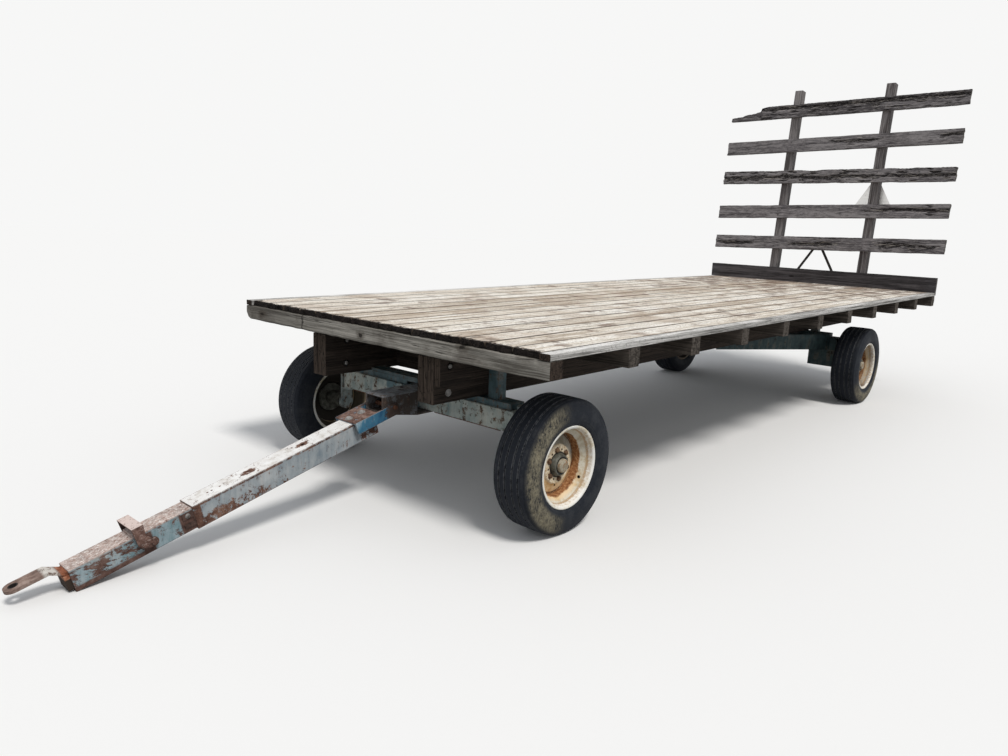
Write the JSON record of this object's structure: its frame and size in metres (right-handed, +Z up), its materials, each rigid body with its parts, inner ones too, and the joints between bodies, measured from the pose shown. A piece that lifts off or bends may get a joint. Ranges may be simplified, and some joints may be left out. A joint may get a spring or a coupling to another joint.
{
  "type": "hay wagon",
  "caption": "Flat plank-deck hay wagon with a slatted rear rack, pneumatic tyres, knuckle steering and a telescoping tongue that rests on the ground.",
  "frame": {"origin": "on the ground below the middle of the wagon's overall box, tongue included", "axes": "+X to the wagon's left, -Y forward to the hitch, +Z up"},
  "size_m": [2.48, 8.2055, 3.0812],
  "materials": {
    "deck_wood": "bleached bare planks",
    "frame_wood": "weathered grey",
    "dark_wood": "dark weathered",
    "char_wood": "dark weathered",
    "rack_wood": "grey, rotted",
    "gear_paint": "faded, rusting",
    "tongue_paint": "faded, rusting",
    "rust_steel": "rusty",
    "tyre": "dusty",
    "rim_paint": "chalky, rusting",
    "hub_steel": "dull",
    "plate": "dull sheet"
  },
  "bodies": {
    "wagon": {"deck_planks": "deck_wood", "header": "frame_wood", "joists": "frame_wood", "stringer_left": "dark_wood", "stringer_right": "dark_wood", "tail_board": "char_wood", "rack_post_left": "rack_wood", "rack_post_right": "rack_wood", "rack_boards": "rack_wood", "rack_braces": "rust_steel", "slow_plate": "plate", "front_axle": "gear_paint", "king_bolt": "rust_steel", "rear_axle": "gear_paint", "rear_spindle_left": "gear_paint", "rear_spindle_right": "gear_paint", "front_bolster_left": "gear_paint", "front_bolster_right": "gear_paint", "rear_bolster_left": "gear_paint", "rear_bolster_right": "gear_paint", "reach_pole": "gear_paint", "rear_hound_left": "gear_paint", "rear_hound_right": "gear_paint"},
    "steering_head": {"steering_head": "rust_steel"},
    "tie_rod_left": {"tie_rod_left": "rust_steel"},
    "tie_rod_right": {"tie_rod_right": "rust_steel"},
    "knuckle_left": {"knuckle_left": "gear_paint"},
    "knuckle_right": {"knuckle_right": "gear_paint"},
    "tongue": {"tongue_tube": "tongue_paint", "tongue_yoke": "tongue_paint", "tongue_pin": "rust_steel"},
    "tongue_inner": {"inner_tube": "rust_steel", "latch_bail": "rust_steel", "hitch_strap": "rust_steel"},
    "wheel_front_left": {"tyre_front_left": "tyre", "rim_front_left": "rim_paint", "hub_front_left": "hub_steel"},
    "wheel_front_right": {"tyre_front_right": "tyre", "rim_front_right": "rim_paint", "hub_front_right": "hub_steel"},
    "wheel_rear_left": {"tyre_rear_left": "tyre", "rim_rear_left": "rim_paint", "hub_rear_left": "hub_steel"},
    "wheel_rear_right": {"tyre_rear_right": "tyre", "rim_rear_right": "rim_paint", "hub_rear_right": "hub_steel"}
  },
  "joints": [
    {"name": "steering", "type": "hinge", "parent": "wagon", "child": "steering_head", "pos_m": [0, -1.94217, 0.516], "axis": [0, 0, 1], "range_deg": [-30, 30]},
    {"name": "knuckle_left_turn", "type": "hinge", "parent": "wagon", "child": "knuckle_left", "pos_m": [0.725, -1.94217, 0.516], "axis": [0, 0, 1], "range_deg": [-30, 30]},
    {"name": "tie_rod_left_turn", "type": "hinge", "parent": "steering_head", "child": "tie_rod_left", "pos_m": [0.035, -1.77717, 0.422], "axis": [0, 0, 1], "range_deg": [-30, 30]},
    {"name": "knuckle_right_turn", "type": "hinge", "parent": "wagon", "child": "knuckle_right", "pos_m": [-0.725, -1.94217, 0.516], "axis": [0, 0, 1], "range_deg": [-30, 30]},
    {"name": "tie_rod_right_turn", "type": "hinge", "parent": "steering_head", "child": "tie_rod_right", "pos_m": [-0.035, -1.77717, 0.422], "axis": [0, 0, 1], "range_deg": [-30, 30]},
    {"name": "tongue_pitch", "type": "hinge", "parent": "steering_head", "child": "tongue", "pos_m": [0, -2.26217, 0.519], "axis": [-1, 0, 0], "range_deg": [0, 55]},
    {"name": "tongue_extend", "type": "slide", "parent": "tongue", "child": "tongue_inner", "axis": [0, -0.9678, -0.2519], "range_m": [-0.18, 0]},
    {"name": "wheel_front_left_spin", "type": "hinge", "parent": "knuckle_left", "child": "wheel_front_left", "pos_m": [0.932, -1.94217, 0.345], "axis": [1, 0, 0], "continuous": true},
    {"name": "wheel_front_right_spin", "type": "hinge", "parent": "knuckle_right", "child": "wheel_front_right", "pos_m": [-0.932, -1.94217, 0.345], "axis": [1, 0, 0], "continuous": true},
    {"name": "wheel_rear_left_spin", "type": "hinge", "parent": "wagon", "child": "wheel_rear_left", "pos_m": [0.932, 2.51783, 0.345], "axis": [1, 0, 0], "continuous": true},
    {"name": "wheel_rear_right_spin", "type": "hinge", "parent": "wagon", "child": "wheel_rear_right", "pos_m": [-0.932, 2.51783, 0.345], "axis": [1, 0, 0], "continuous": true}
  ],
  "couplings": [
    {"joint": "knuckle_left_turn", "follows": "steering", "ratio": 1},
    {"joint": "tie_rod_left_turn", "follows": "steering", "ratio": -1},
    {"joint": "knuckle_right_turn", "follows": "steering", "ratio": 1},
    {"joint": "tie_rod_right_turn", "follows": "steering", "ratio": -1}
  ]
}
